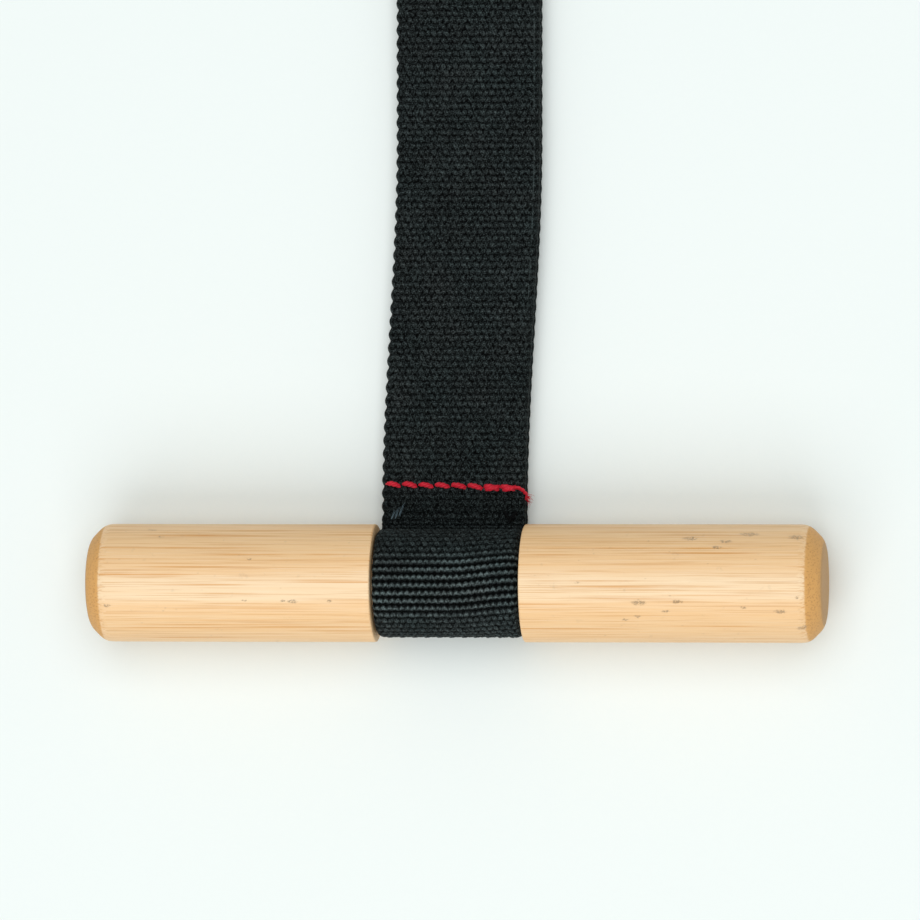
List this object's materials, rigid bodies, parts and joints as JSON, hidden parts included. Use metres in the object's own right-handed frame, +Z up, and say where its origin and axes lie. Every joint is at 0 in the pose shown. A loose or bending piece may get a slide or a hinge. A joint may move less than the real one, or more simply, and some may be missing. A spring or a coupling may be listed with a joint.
{
  "type": "toggle bar anchor strap",
  "caption": "Grooved round bamboo toggle bar held in the sewn bend of a doubled black webbing strap that ends in an eye loop; anchors gymnastics rings or a sling trainer.",
  "frame": {"origin": "bottom centre of the whole part, on the plane that the strap and the bar rest on", "axes": "+X along the bar, +Y along the strap from the bar to the eye, +Z up from the surface that the strap lies on"},
  "size_m": [0.125, 0.26, 0.02],
  "materials": {
    "bamboo": "sanded bamboo with fine lengthwise fibre lines, satin",
    "black_webbing": "black plain-woven webbing, slight sheen on the yarn crowns",
    "red_thread": "red twisted sewing thread with a soft shine",
    "black_thread": "black twisted sewing thread"
  },
  "bodies": {
    "sleeve": {"webbing_sleeve": "black_webbing", "closing_needle_thread": "black_thread", "closing_bobbin_thread": "black_thread", "red_needle_thread": "red_thread", "red_bobbin_thread": "red_thread"},
    "bar": {"toggle_bar": "bamboo"},
    "strap": {"webbing_lower_run": "black_webbing", "webbing_upper_run": "black_webbing"},
    "eye": {"webbing_eye": "black_webbing", "webbing_lower_end": "black_webbing", "throat_needle_thread": "red_thread", "throat_bobbin_thread": "red_thread", "splice_needle_thread": "black_thread", "splice_bobbin_thread": "black_thread"}
  },
  "joints": [
    {"name": "bar_spin", "type": "hinge", "parent": "sleeve", "child": "bar", "pos_m": [-0.001, -0.12, 0.01], "axis": [1, 0, 0], "continuous": true},
    {"name": "strap_fold", "type": "hinge", "parent": "sleeve", "child": "strap", "pos_m": [-0.001, -0.098, 0.0026], "axis": [1, 0, 0], "range_deg": [0, 90]},
    {"name": "eye_fold", "type": "hinge", "parent": "strap", "child": "eye", "pos_m": [0.0014, 0.05, 0.0026], "axis": [1, 0, 0], "range_deg": [0, 90]}
  ]
}
